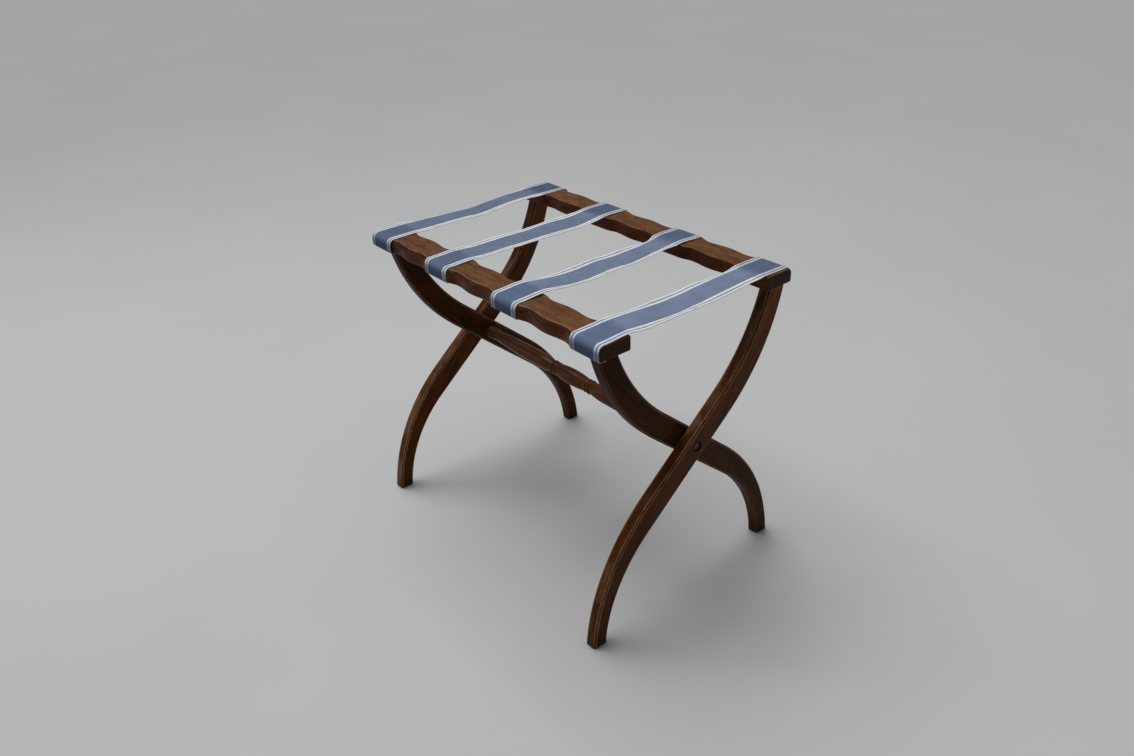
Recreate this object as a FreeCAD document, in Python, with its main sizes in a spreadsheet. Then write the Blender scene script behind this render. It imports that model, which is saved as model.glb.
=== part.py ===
import FreeCAD, Part
import os
import math
import Sketcher
from FreeCAD import Vector, Rotation, Placement

# Folding luggage bench: two scalloped top rails on two crossed pairs of
# S-curved legs, a turned stretcher on the pivot line and four webbing straps.
# Frame: origin on the floor under the centre, +X along the rails,
# +Y towards the rear rail, +Z up.  Millimetres.

doc = FreeCAD.newDocument("LuggageBench")

# ---------------------------------------------------------------- dimensions
sheet = doc.addObject("Spreadsheet::Sheet", "Dimensions")
SIZES = [
    ("rail_length", "580"),
    ("rail_inner_edge", "135"),        # distance of the rail's inner edge from the mid plane
    ("rail_outer_edge", "189.5"),
    ("rail_top", "507.5"),
    ("rail_thickness", "22.2"),
    ("rail_round_top", "8"),
    ("rail_round_under", "3"),
    ("rail_round_inner", "2.5"),
    ("rail_end_softening", "2.2"),
    ("scallop_half", "63"),            # half the length of one scallop
    ("scallop_dip_offset", "38"),
    ("scallop_dip_depth", "4.6"),
    ("scallop_crest_depth", "1.1"),
    ("scallop_pitch", "176"),
    ("scallop_shift", "-4"),           # of the middle scallop, along the rail
    ("strap_1_at", "-259.5"),          # centre line of each strap, left to right
    ("strap_2_at", "-94.5"),
    ("strap_3_at", "82"),
    ("strap_4_at", "259.5"),
    ("strap_width", "58.5"),
    ("strap_thickness", "1.4"),
    ("strap_gap", "0.05"),             # webbing to wood
    ("strap_tail_edge", "177.5"),      # where the tail ends under the rail
    ("strap_sag", "2.5"),              # at mid span
    ("span_gap", "0.15"),              # each side of a joint between webbing solids
    ("tack_line", "180.6"),
    ("tack_spacing", "19"),
    ("tack_head_radius", "2.6"),
    ("tack_head_height", "0.9"),
    ("tack_shank_radius", "0.8"),
    ("tack_length", "9"),
    ("tack_hole_radius", "0.9"),
    ("tack_hole_depth", "10"),
    ("leg_thickness", "21"),
    ("leg_front_top", "141"),          # S profile, distances from the pivot plane and the floor
    ("leg_back_top", "175.4"),
    ("leg_front_upper_y", "45.9"),
    ("leg_front_upper_z", "341.3"),
    ("leg_front_lower_y", "96.2"),
    ("leg_front_lower_z", "221"),
    ("leg_back_upper_y", "66"),
    ("leg_back_upper_z", "304.4"),
    ("leg_back_lower_y", "100.3"),
    ("leg_back_lower_z", "163.7"),
    ("foot_toe", "210.5"),
    ("foot_heel", "184.5"),
    ("leg_chamfer", "3"),
    ("foot_chamfer", "2"),
    ("pivot_height", "275"),
    ("leg_gap", "1.6"),
    ("counterbore_radius", "7.4"),
    ("counterbore_depth", "4.7"),
    ("outer_bore_radius", "3.08"),
    ("inner_bore_radius", "3.03"),
    ("screw_radius", "3"),
    ("screw_head_radius", "5.6"),
    ("screw_head_height", "3"),
    ("screw_tip", "228"),              # distance of the tip from the centre
    ("screw_slot_width", "1.2"),
    ("screw_slot_depth", "1.3"),
    ("head_washer_radius", "6.8"),
    ("head_washer_thickness", "1"),
    ("washer_hole_radius", "3.2"),
    ("head_washer_play", "0.3"),
    ("spacer_radius", "11"),
    ("spacer_thickness", "1.2"),
    ("tenon_radius", "7.5"),
    ("tenon_length", "10"),
    ("tenon_play", "0.03"),
    ("dowel_radius", "4"),
    ("dowel_hole_radius", "4.03"),
    ("dowel_up", "14"),
    ("dowel_down", "15"),
    ("dowel_play", "0.5"),
    ("dowel_first", "148"),
    ("dowel_second", "162"),
    ("swell_radius", "14"),            # turned stretcher
    ("swell_end", "36"),
    ("swell_end_radius", "11"),
    ("bead_radius", "12.3"),
    ("bead_groove_a", "44.3"),
    ("bead_groove_radius", "10.4"),
    ("bead_groove_b", "52.6"),
    ("vase_crest", "86"),
    ("vase_crest_radius", "13.7"),
    ("vase_tip", "219.5"),
    ("vase_tip_radius", "9"),
    ("end_bead_radius", "11.4"),
    ("end_groove", "228.6"),
    ("end_groove_radius", "9.2"),
    ("end_bead_tip", "237.6"),
    ("neck_radius", "9.6"),
]
for row, (alias, value) in enumerate(SIZES, start=1):
    sheet.set("A%d" % row, alias.replace("_", " "))
    sheet.set("B%d" % row, value)
    sheet.setAlias("B%d" % row, alias)
doc.recompute()


class Q:
    """A length that carries its number and the sheet formula it comes from."""

    def __init__(self, value, text):
        self.v = float(value)
        self.e = text

    @staticmethod
    def of(x):
        return x if isinstance(x, Q) else Q(x, repr(float(x)))

    def __add__(self, o):
        o = Q.of(o)
        return Q(self.v + o.v, "(%s + %s)" % (self.e, o.e))

    __radd__ = __add__

    def __sub__(self, o):
        o = Q.of(o)
        return Q(self.v - o.v, "(%s - %s)" % (self.e, o.e))

    def __rsub__(self, o):
        o = Q.of(o)
        return Q(o.v - self.v, "(%s - %s)" % (o.e, self.e))

    def __mul__(self, o):
        o = Q.of(o)
        return Q(self.v * o.v, "(%s * %s)" % (self.e, o.e))

    __rmul__ = __mul__

    def __truediv__(self, o):
        o = Q.of(o)
        return Q(self.v / o.v, "(%s / %s)" % (self.e, o.e))

    def __neg__(self):
        return Q(-self.v, "(-1 * %s)" % self.e)


class Sizes:
    pass


D = Sizes()
for alias, value in SIZES:
    setattr(D, alias, Q(value, "Dimensions." + alias))

ZERO = Q(0, "0")
RAIL_BOTTOM = D.rail_top - D.rail_thickness
HALF_LENGTH = D.rail_length / 2
OUTER_LEG_IN = HALF_LENGTH - D.leg_thickness          # inside face of an outer leg
INNER_LEG_OUT = OUTER_LEG_IN - D.leg_gap              # outside face of an inner leg
INNER_LEG_IN = INNER_LEG_OUT - D.leg_thickness
STRAPS = [D.strap_1_at, D.strap_2_at, D.strap_3_at, D.strap_4_at]


# ------------------------------------------------------------------- helpers
def plane(body, role):
    for feature in body.Origin.OriginFeatures:
        if feature.Role == role:
            return feature
    raise RuntimeError("no origin plane " + role)


def axis_of(body, role):
    return plane(body, role)


def new_body(label):
    body = doc.addObject("PartDesign::Body", label)
    body.Label = label
    return body


def place(obj, x=None, y=None, z=None, turn=None):
    """Binds the position to the sheet; turn is an angle about an axis."""
    rotation = Rotation() if turn is None else Rotation(Vector(*turn[0]), turn[1])
    values = [Q.of(c if c is not None else 0) for c in (x, y, z)]
    obj.Placement = Placement(Vector(*[q.v for q in values]), rotation)
    for name, given, q in zip("xyz", (x, y, z), values):
        if isinstance(given, Q):
            obj.setExpression("Placement.Base." + name, q.e)


def new_sketch(body, name, role, lift=None):
    sk = body.newObject("Sketcher::SketchObject", name)
    sk.AttachmentSupport = [(plane(body, role), "")]
    sk.MapMode = "FlatFace"
    if lift is not None:
        sk.AttachmentOffset = Placement(Vector(0, 0, lift.v), Rotation())
        sk.setExpression("AttachmentOffset.Base.z", lift.e)
    return sk


def pin(sk, geo, pos, x, y, tag):
    """Fixes one point of the sketch to formulas of the sheet."""
    for kind, axis, q in (("DistanceX", -2, x), ("DistanceY", -1, y)):
        if abs(q.v) < 1e-9:
            sk.addConstraint(Sketcher.Constraint("PointOnObject", geo, pos, axis))
        else:
            name = "%s_%s" % (tag, kind[-1])
            i = sk.addConstraint(Sketcher.Constraint(kind, -1, 1, geo, pos, q.v))
            sk.renameConstraint(i, name)
            sk.setExpression("Constraints." + name, q.e)


def outline(sk, points, segments, tag="p"):
    """A closed chain.  A segment is None for a line, ("arc", radius, side) for an arc
    whose centre lies left (+1) or right (-1) of the way, or ("blend", side, end) for an
    arc tangent to its neighbour at its start or its end."""
    n = len(points)
    made = []
    for i in range(n):
        (x0, y0), (x1, y1) = points[i], points[(i + 1) % n]
        a, b = Vector(x0.v, y0.v, 0), Vector(x1.v, y1.v, 0)
        seg = segments[i]
        if seg is None:
            g = sk.addGeometry(Part.LineSegment(a, b), False)
            made.append((g, 1, 2))
            continue
        chord = b - a
        half = chord.Length / 2
        left = Vector(-chord.y, chord.x, 0).normalize()
        if seg[0] == "arc":
            radius, side = seg[1].v, seg[2]
        else:
            side = seg[1]
            # tangent to the straight neighbour: angle between chord and tangent
            j = i - 1 if seg[2] == "start" else (i + 1) % n
            (u0, v0), (u1, v1) = points[j], points[(j + 1) % n]
            t = Vector(u1.v - u0.v, v1.v - v0.v, 0)
            angle = t.getAngle(chord)
            radius = half / math.sin(angle)
        off = math.sqrt(max(radius * radius - half * half, 0.0))
        centre = (a + b) * 0.5 + left * (off * side)
        start = math.atan2(a.y - centre.y, a.x - centre.x)
        end = math.atan2(b.y - centre.y, b.x - centre.x)
        circle = Part.Circle(centre, Vector(0, 0, 1), radius)
        if side > 0:
            g = sk.addGeometry(Part.ArcOfCircle(circle, start, end), False)
            made.append((g, 1, 2))
        else:
            g = sk.addGeometry(Part.ArcOfCircle(circle, end, start), False)
            made.append((g, 2, 1))
    for i in range(n):
        g0, _, e0 = made[i]
        g1, s1, _ = made[(i + 1) % n]
        seg, nxt = segments[i], segments[(i + 1) % n]
        smooth = (seg is not None and seg[0] == "blend" and seg[2] == "end") or (
            nxt is not None and nxt[0] == "blend" and nxt[2] == "start"
        )
        kind = "Tangent" if smooth else "Coincident"
        sk.addConstraint(Sketcher.Constraint(kind, g0, e0, g1, s1))
    for i in range(n):
        g, s, _ = made[i]
        pin(sk, g, s, points[i][0], points[i][1], "%s%d" % (tag, i))
        if segments[i] is not None and segments[i][0] == "arc":
            name = "%s%d_R" % (tag, i)
            k = sk.addConstraint(Sketcher.Constraint("Radius", g, segments[i][1].v))
            sk.renameConstraint(k, name)
            sk.setExpression("Constraints." + name, segments[i][1].e)
    return made


def circles(sk, spots, radius, tag="c"):
    for i, (x, y) in enumerate(spots):
        g = sk.addGeometry(Part.Circle(Vector(x.v, y.v, 0), Vector(0, 0, 1), radius.v), False)
        pin(sk, g, 3, x, y, "%s%d" % (tag, i))
        name = "%s%d_R" % (tag, i)
        k = sk.addConstraint(Sketcher.Constraint("Radius", g, radius.v))
        sk.renameConstraint(k, name)
        sk.setExpression("Constraints." + name, radius.e)


def pad(body, sk, name, length, reverse=False, middle=False):
    f = body.newObject("PartDesign::Pad", name)
    f.Profile = sk
    f.Length = length.v
    f.setExpression("Length", length.e)
    if middle:
        f.Midplane = True
    f.Reversed = reverse
    sk.Visibility = False
    doc.recompute()
    return f


def pocket(body, sk, name, length=None, reverse=False):
    before = body.Shape.Volume
    f = body.newObject("PartDesign::Pocket", name)
    f.Profile = sk
    if length is None:
        f.Type = 1
    else:
        f.Length = length.v
        f.setExpression("Length", length.e)
    f.Reversed = reverse
    sk.Visibility = False
    doc.recompute()
    if not f.Shape.Volume < before - 1e-3:
        raise RuntimeError("%s of %s cuts nothing" % (name, body.Label))
    return f


def dress(body, base, kind, name, size, pick):
    """A Fillet or Chamfer of the base's edges that pick() accepts."""
    chosen = ["Edge%d" % (i + 1) for i, e in enumerate(base.Shape.Edges) if pick(e)]
    if not chosen:
        raise RuntimeError("%s of %s finds no edge" % (name, body.Label))
    f = body.newObject("PartDesign::" + kind, name)
    f.Base = (base, chosen)
    prop = "Radius" if kind == "Fillet" else "Size"
    setattr(f, prop, size.v)
    f.setExpression(prop, size.e)
    doc.recompute()
    return f


def ends(e):
    return [v.Point for v in e.Vertexes]


def near(a, b, tol=1e-3):
    return abs(a - b) < tol


# --------------------------------------------------------------------- rails
def scallop(edge, sign, at):
    """Wavy cut along one long edge: a dip beside each strap, a low crest between them.
    sign is +1 for the outer edge and -1 for the inner one."""
    dip, crest = D.scallop_dip_depth, D.scallop_crest_depth
    half, off = D.scallop_half, D.scallop_dip_offset
    run = half - off
    tight = (run * run + dip * dip) / (dip * 4)
    drop = dip - crest
    wide = (off * off + drop * drop) / (drop * 4)
    beyond = 6

    def y(depth):
        return edge - depth if sign > 0 else edge + depth

    xs = [-half, -half + run / 2, -off, -off / 2, off / 2, off, half - run / 2, half]
    ds = [ZERO, dip / 2, dip, dip - drop / 2, dip - drop / 2, dip, dip / 2, ZERO]
    pts = [(at + x, y(d)) for x, d in zip(xs, ds)]
    s = 1 if sign > 0 else -1
    segs = [
        ("arc", tight, -s),
        ("arc", tight, s),
        ("arc", wide, s),
        ("arc", wide, -s),
        ("arc", wide, s),
        ("arc", tight, s),
        ("arc", tight, -s),
        None, None, None,
    ]
    out = edge + beyond if sign > 0 else edge - beyond
    pts += [(at + half, out), (at - half, out)]
    return pts, segs


def tack_spots(front):
    """Three tacks a strap, in the rail's own frame: the front rail is turned half round."""
    return [((-at if front else at) + D.tack_spacing * k, D.tack_line) for at in STRAPS for k in (-1, 0, 1)]


def make_rail(label, front, leg_centre):
    body = new_body(label)
    inner, outer = D.rail_inner_edge, D.rail_outer_edge
    sk = new_sketch(body, label + "_blank", "XY_Plane")
    outline(sk, [(-HALF_LENGTH, inner), (HALF_LENGTH, inner), (HALF_LENGTH, outer), (-HALF_LENGTH, outer)],
            [None] * 4)
    pad(body, sk, label + "_pad", D.rail_thickness)

    sk = new_sketch(body, label + "_scallops", "XY_Plane")
    for tag, edge, sign in (("o", outer, 1), ("i", inner, -1)):
        pts, segs = scallop(edge, sign, (-D.scallop_shift if front else D.scallop_shift) - D.scallop_pitch)
        outline(sk, pts, segs, tag)
    cut = pocket(body, sk, label + "_scallop_cut", reverse=True)
    row = body.newObject("PartDesign::LinearPattern", label + "_scallop_row")
    row.Originals = [cut]
    row.Direction = (axis_of(body, "X_Axis"), [""])
    row.Length = 2 * D.scallop_pitch.v
    row.setExpression("Length", (D.scallop_pitch * 2).e)
    row.Occurrences = 3
    body.Tip = row
    doc.recompute()

    t = D.rail_thickness.v
    mid = (inner.v + outer.v) / 2

    def long_edge(side, z):
        def pick(e):
            p = ends(e)
            return (len(p) == 2 and all(near(q.z, z) for q in p)
                    and all((q.y - mid) * side > 0 for q in p)
                    and abs(p[0].x - p[1].x) > 1)
        return pick

    last = dress(body, row, "Fillet", label + "_round_top", D.rail_round_top, long_edge(1, t))
    last = dress(body, last, "Fillet", label + "_round_under", D.rail_round_under, long_edge(1, 0))
    last = dress(body, last, "Fillet", label + "_round_inner", D.rail_round_inner,
                 lambda e: long_edge(-1, t)(e) or long_edge(-1, 0)(e))
    hl = HALF_LENGTH.v
    last = dress(body, last, "Fillet", label + "_soft_ends", D.rail_end_softening,
                 lambda e: all(near(abs(q.x), hl) for q in ends(e)) and e.Length < 60
                 and near(abs(e.CenterOfMass.x), hl))
    body.Tip = last

    sk = new_sketch(body, label + "_dowel_spots", "XY_Plane")
    circles(sk, [(s * leg_centre, y) for s in (-1, 1) for y in (D.dowel_first, D.dowel_second)],
            D.dowel_hole_radius)
    pocket(body, sk, label + "_dowel_holes", D.dowel_up + D.dowel_play, reverse=True)

    sk = new_sketch(body, label + "_tack_spots", "XY_Plane")
    circles(sk, tack_spots(front), D.tack_hole_radius)
    pocket(body, sk, label + "_tack_holes", D.tack_hole_depth, reverse=True)
    place(body, z=RAIL_BOTTOM, turn=((0, 0, 1), 180) if front else None)
    return body


# ---------------------------------------------------------------------- legs
def make_leg(label, base_x, front, outer, far_face):
    """One S-curved leg, drawn for a leg whose rail is at +Y and foot at -Y; the front
    pair is turned half round.  far_face says which side carries the counterbore (outer
    legs) or the stretcher's tenon (inner legs)."""
    body = new_body(label)
    top = RAIL_BOTTOM
    sk = new_sketch(body, label + "_profile", "YZ_Plane")
    pts = [
        (D.leg_front_top, top),
        (D.leg_front_upper_y, D.leg_front_upper_z),
        (-D.leg_front_lower_y, D.leg_front_lower_z),
        (-D.foot_toe, ZERO),
        (-D.foot_heel, ZERO),
        (-D.leg_back_lower_y, D.leg_back_lower_z),
        (D.leg_back_upper_y, D.leg_back_upper_z),
        (D.leg_back_top, top),
    ]
    segs = [
        ("blend", -1, "end"), None, ("blend", 1, "start"), None,
        ("blend", -1, "end"), None, ("blend", 1, "start"), None,
    ]
    outline(sk, pts, segs)
    base = pad(body, sk, label + "_pad", D.leg_thickness)
    w, zt = D.leg_thickness.v, top.v

    def arris(e):
        p = ends(e)
        flat = all(near(q.x, 0) for q in p) or all(near(q.x, w) for q in p)
        return flat and not all(near(q.z, zt) for q in p) and not all(near(q.z, 0) for q in p)

    last = dress(body, base, "Chamfer", label + "_arris", D.leg_chamfer, arris)
    last = dress(body, last, "Chamfer", label + "_foot_edge", D.foot_chamfer,
                 lambda e: all(near(q.z, 0) for q in ends(e)))

    sk = new_sketch(body, label + "_pivot_spot", "YZ_Plane")
    bore = D.outer_bore_radius if outer else D.inner_bore_radius
    circles(sk, [(ZERO, D.pivot_height)], bore)
    pocket(body, sk, label + "_pivot_bore", reverse=True)

    sk = new_sketch(body, label + "_recess_spot", "YZ_Plane", lift=D.leg_thickness if far_face else None)
    wide = D.counterbore_radius if outer else D.tenon_radius + D.tenon_play
    deep = D.counterbore_depth if outer else D.tenon_length + D.dowel_play
    circles(sk, [(ZERO, D.pivot_height)], wide)
    pocket(body, sk, label + "_recess", deep, reverse=not far_face)

    sk = new_sketch(body, label + "_dowel_spots", "XY_Plane", lift=top)
    circles(sk, [(D.leg_thickness / 2, y) for y in (D.dowel_first, D.dowel_second)], D.dowel_hole_radius)
    pocket(body, sk, label + "_dowel_holes", D.dowel_down + D.dowel_play)
    place(body, x=base_x, turn=((0, 0, 1), 180) if front else None)
    return body


# ----------------------------------------------------------------- stretcher
def make_stretcher():
    body = new_body("stretcher")
    sk = new_sketch(body, "stretcher_profile", "XZ_Plane")

    def bow(length, rise):
        """Radius of an arc of this chord and rise."""
        half = length / 2
        return (half * half + rise * rise) / (rise * 2)

    def level(length, drop):
        """Radius of an arc level at one end that falls by drop over length."""
        return (length * length + drop * drop) / (drop * 2)

    tip = INNER_LEG_IN + D.tenon_length
    face = INNER_LEG_IN
    half = [  # from the centre outwards: x, radius, arc to the next point
        (D.swell_end, D.swell_end_radius, bow(D.bead_groove_a - D.swell_end, D.bead_radius - D.swell_end_radius)),
        (D.bead_groove_a, D.bead_groove_radius, bow(D.bead_groove_b - D.bead_groove_a, D.bead_radius - D.bead_groove_radius)),
        (D.bead_groove_b, D.bead_groove_radius, level(D.vase_crest - D.bead_groove_b, D.vase_crest_radius - D.bead_groove_radius)),
        (D.vase_crest, D.vase_crest_radius, level(D.vase_tip - D.vase_crest, D.vase_crest_radius - D.vase_tip_radius)),
        (D.vase_tip, D.vase_tip_radius, bow(D.end_groove - D.vase_tip, D.end_bead_radius - D.end_groove_radius)),
        (D.end_groove, D.end_groove_radius, bow(D.end_bead_tip - D.end_groove, D.end_bead_radius - D.end_groove_radius)),
        (D.end_bead_tip, D.neck_radius, None),
        (face, D.neck_radius, None),
        (face, D.tenon_radius, None),
        (tip, D.tenon_radius, None),
        (tip, D.inner_bore_radius, None),
        (D.screw_tip - D.dowel_play, D.inner_bore_radius, None),
    ]
    pts, segs = [], []
    inner_end = D.screw_tip - D.dowel_play
    # left half from the axis outwards, then the right half back to the axis
    pts.append((-inner_end, ZERO))
    segs.append(None)
    for i in range(len(half) - 1, -1, -1):
        x, r, _ = half[i]
        pts.append((-x, r))
        arc = half[i - 1][2] if i > 0 else None
        segs.append(("arc", arc, -1) if arc is not None else None)
    crown = bow(D.swell_end * 2, D.swell_radius - D.swell_end_radius)
    segs[-1] = ("arc", crown, -1)
    for i, (x, r, arc) in enumerate(half):
        pts.append((x, r))
        segs.append(("arc", arc, -1) if arc is not None else None)
    pts.append((inner_end, ZERO))
    segs.append(None)
    outline(sk, pts, segs)
    f = body.newObject("PartDesign::Revolution", "stretcher_turning")
    f.Profile = sk
    f.ReferenceAxis = (sk, ["H_Axis"])
    f.Angle = 360
    sk.Visibility = False
    body.Tip = f
    doc.recompute()
    place(body, z=D.pivot_height)
    return body


# ------------------------------------------------------------- pivot hardware
HEAD_WASHER_IN = HALF_LENGTH - D.counterbore_depth + D.head_washer_play
HEAD_IN = HEAD_WASHER_IN + D.head_washer_thickness


def make_screw(label, left):
    body = new_body(label)
    sk = new_sketch(body, label + "_profile", "XZ_Plane")
    out = HEAD_IN + D.screw_head_height
    rim = D.screw_head_height / 3
    cone = D.screw_radius * 2
    pts = [
        (D.screw_tip, ZERO),
        (D.screw_tip + cone, D.screw_radius),
        (HEAD_IN, D.screw_radius),
        (HEAD_IN, D.screw_head_radius),
        (HEAD_IN + rim, D.screw_head_radius),
        (out, ZERO),
    ]
    crown = out - HEAD_IN - rim
    dome = (D.screw_head_radius * D.screw_head_radius + crown * crown) / (crown * 2)
    outline(sk, pts, [None, None, None, None, ("arc", dome, -1), None])
    f = body.newObject("PartDesign::Revolution", label + "_turning")
    f.Profile = sk
    f.ReferenceAxis = (sk, ["H_Axis"])
    f.Angle = 360
    sk.Visibility = False
    body.Tip = f
    doc.recompute()
    sk = new_sketch(body, label + "_cross", "YZ_Plane", lift=out)
    a, b = D.screw_slot_width / 2, D.screw_head_radius * 0.6
    outline(sk, [(-b, -a), (-a, -a), (-a, -b), (a, -b), (a, -a), (b, -a),
                 (b, a), (a, a), (a, b), (-a, b), (-a, a), (-b, a)], [None] * 12)
    pocket(body, sk, label + "_drive", D.screw_slot_depth)
    place(body, z=D.pivot_height, turn=((0, 0, 1), 180) if left else None)
    return body


def make_washer(label, radius, thickness, inner_x, left):
    disc = doc.addObject("Part::Cylinder", label + "_disc")
    hole = doc.addObject("Part::Cylinder", label + "_hole")
    for obj, r, h, drop in ((disc, radius, thickness, ZERO), (hole, D.washer_hole_radius, thickness + 2, Q.of(-1))):
        obj.Radius = r.v
        obj.Height = h.v
        obj.setExpression("Radius", r.e)
        obj.setExpression("Height", h.e)
        obj.Placement = Placement(Vector(0, 0, drop.v), Rotation())
    cut = doc.addObject("Part::Cut", label)
    cut.Label = label
    cut.Base = disc
    cut.Tool = hole
    turn = ((0, 1, 0), -90 if left else 90)
    place(cut, x=-inner_x if left else inner_x, z=D.pivot_height, turn=turn)
    return cut


def make_dowels(label, front, leg_centre):
    rods = []
    for i, (s, y) in enumerate((s, y) for s in (-1, 1) for y in (D.dowel_first, D.dowel_second)):
        rod = doc.addObject("Part::Cylinder", "%s_rod%d" % (label, i + 1))
        rod.Radius = D.dowel_radius.v
        rod.setExpression("Radius", D.dowel_radius.e)
        length = D.dowel_up + D.dowel_down
        rod.Height = length.v
        rod.setExpression("Height", length.e)
        place(rod, x=s * leg_centre, y=y, z=-D.dowel_down)
        rods.append(rod)
    group = doc.addObject("Part::Compound", label)
    group.Label = label
    group.Links = rods
    place(group, z=RAIL_BOTTOM, turn=((0, 0, 1), 180) if front else None)
    return group


# ------------------------------------------------------------------- webbing
def make_strap_end(label, front, centre):
    """The part of a strap that lies on a rail: over the top, round the outer edge and
    a short tail under it, with the holes its tacks make."""
    body = new_body(label)
    sk = new_sketch(body, label + "_path", "YZ_Plane")
    g, t = D.strap_gap, D.strap_thickness
    start = D.rail_inner_edge + D.span_gap
    outer, top, low = D.rail_outer_edge, D.rail_thickness, ZERO
    ru, rl = D.rail_round_top, D.rail_round_under
    tail = D.strap_tail_edge
    pts = [
        (start, top + g),
        (outer - ru, top + g),
        (outer + g, top - ru),
        (outer + g, low + rl),
        (outer - rl, low - g),
        (tail, low - g),
        (tail, low - g - t),
        (outer - rl, low - g - t),
        (outer + g + t, low + rl),
        (outer + g + t, top - ru),
        (outer - ru, top + g + t),
        (start, top + g + t),
    ]
    segs = [None, ("arc", ru + g, -1), None, ("arc", rl + g, -1), None, None,
            None, ("arc", rl + g + t, 1), None, ("arc", ru + g + t, 1), None, None]
    outline(sk, pts, segs)
    pad(body, sk, label + "_pad", D.strap_width, middle=True)
    sk = new_sketch(body, label + "_tack_spots", "XY_Plane", lift=-g - t)
    circles(sk, [(D.tack_spacing * k, D.tack_line) for k in (-1, 0, 1)], D.tack_hole_radius)
    pocket(body, sk, label + "_tack_holes", t + g, reverse=True)
    place(body, x=centre, z=RAIL_BOTTOM, turn=((0, 0, 1), 180) if front else None)
    return body


def make_strap_half(label, front, centre):
    """Half of a strap's free span, from the rail's inner edge down to the mid plane."""
    body = new_body(label)
    sk = new_sketch(body, label + "_fall", "YZ_Plane")
    high = D.rail_top + D.strap_gap
    low = high - D.strap_sag
    inner, middle = D.rail_inner_edge - D.span_gap, D.span_gap
    outline(sk, [(middle, low), (inner, high), (inner, high + D.strap_thickness),
                 (middle, low + D.strap_thickness)], [None] * 4)
    pad(body, sk, label + "_pad", D.strap_width, middle=True)
    place(body, x=centre, turn=((0, 0, 1), 180) if front else None)
    return body


def make_tacks(label, front):
    """Round-headed tacks, one row of three in each strap tail, heads down."""
    tacks = []
    for i, (x, y) in enumerate(tack_spots(front)):
        name = "%s_%d%s" % (label, i // 3 + 1, "abc"[i % 3])
        head = doc.addObject("Part::Cone", name + "_head")
        head.Radius1, head.Radius2, head.Height = D.tack_head_radius.v * 0.6, D.tack_head_radius.v, D.tack_head_height.v
        head.setExpression("Radius1", (D.tack_head_radius * 0.6).e)
        head.setExpression("Radius2", D.tack_head_radius.e)
        head.setExpression("Height", D.tack_head_height.e)
        point = doc.addObject("Part::Cone", name + "_point")
        point.Radius1, point.Radius2, point.Height = D.tack_shank_radius.v, D.tack_shank_radius.v * 0.3, D.tack_length.v
        point.setExpression("Radius1", D.tack_shank_radius.e)
        point.setExpression("Radius2", (D.tack_shank_radius * 0.3).e)
        point.setExpression("Height", D.tack_length.e)
        under = -D.strap_gap - D.strap_thickness
        place(head, x=x, y=y, z=under - D.tack_head_height)
        place(point, x=x, y=y, z=under)
        tack = doc.addObject("Part::Fuse", name)
        tack.Base = head
        tack.Tool = point
        tacks.append(tack)
    group = doc.addObject("Part::Compound", label)
    group.Label = label
    group.Links = tacks
    place(group, z=RAIL_BOTTOM, turn=((0, 0, 1), 180) if front else None)
    return group


# ------------------------------------------------------------------ assembly
nodes = []
INNER_CENTRE = INNER_LEG_OUT - D.leg_thickness / 2
OUTER_CENTRE = HALF_LENGTH - D.leg_thickness / 2
nodes.append(make_rail("front_rail", True, INNER_CENTRE))
nodes.append(make_rail("rear_rail", False, OUTER_CENTRE))
nodes.append(make_leg("outer_leg_right", OUTER_LEG_IN, False, True, True))
nodes.append(make_leg("outer_leg_left", -HALF_LENGTH, False, True, False))
nodes.append(make_leg("inner_leg_right", INNER_LEG_OUT, True, False, True))
nodes.append(make_leg("inner_leg_left", -INNER_LEG_IN, True, False, False))
nodes.append(make_stretcher())
nodes.append(make_screw("pivot_screw_right", False))
nodes.append(make_screw("pivot_screw_left", True))
for side, left in (("right", False), ("left", True)):
    nodes.append(make_washer("head_washer_" + side, D.head_washer_radius, D.head_washer_thickness,
                             HEAD_WASHER_IN, left))
    nodes.append(make_washer("spacer_washer_" + side, D.spacer_radius, D.spacer_thickness,
                             INNER_LEG_OUT, left))
nodes.append(make_dowels("front_rail_dowels", True, INNER_CENTRE))
nodes.append(make_dowels("rear_rail_dowels", False, OUTER_CENTRE))
nodes.append(make_tacks("front_strap_tacks", True))
nodes.append(make_tacks("rear_strap_tacks", False))
for i, centre in enumerate(STRAPS):
    for side, front in (("front", True), ("rear", False)):
        nodes.append(make_strap_end("strap_%d_%s_end" % (i + 1, side), front, centre))
        nodes.append(make_strap_half("strap_%d_%s_half" % (i + 1, side), front, centre))

doc.recompute()

# -------------------------------------------------------------------- checks
for obj in doc.Objects:
    for word in ("Invalid", "Error"):
        if word in obj.State:
            raise RuntimeError("%s is %s" % (obj.Label, obj.State))
for obj in nodes:
    shape = obj.Shape
    if shape.isNull() or not shape.isValid():
        raise RuntimeError("%s has no valid shape" % obj.Label)
    if not shape.Solids:
        raise RuntimeError("%s has no solid" % obj.Label)

os.makedirs("parts", exist_ok=True)
for obj in nodes:
    obj.Shape.exportStep(os.path.join("parts", obj.Label + ".step"))
    b = obj.Shape.BoundBox
    print("%-22s solids %2d  volume %9.1f  x %7.1f..%7.1f  y %7.1f..%7.1f  z %6.1f..%6.1f" % (
        obj.Label, len(obj.Shape.Solids), obj.Shape.Volume,
        b.XMin, b.XMax, b.YMin, b.YMax, b.ZMin, b.ZMax))
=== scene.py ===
import math

import bpy
import numpy as np
from mathutils import Matrix, Vector


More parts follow.
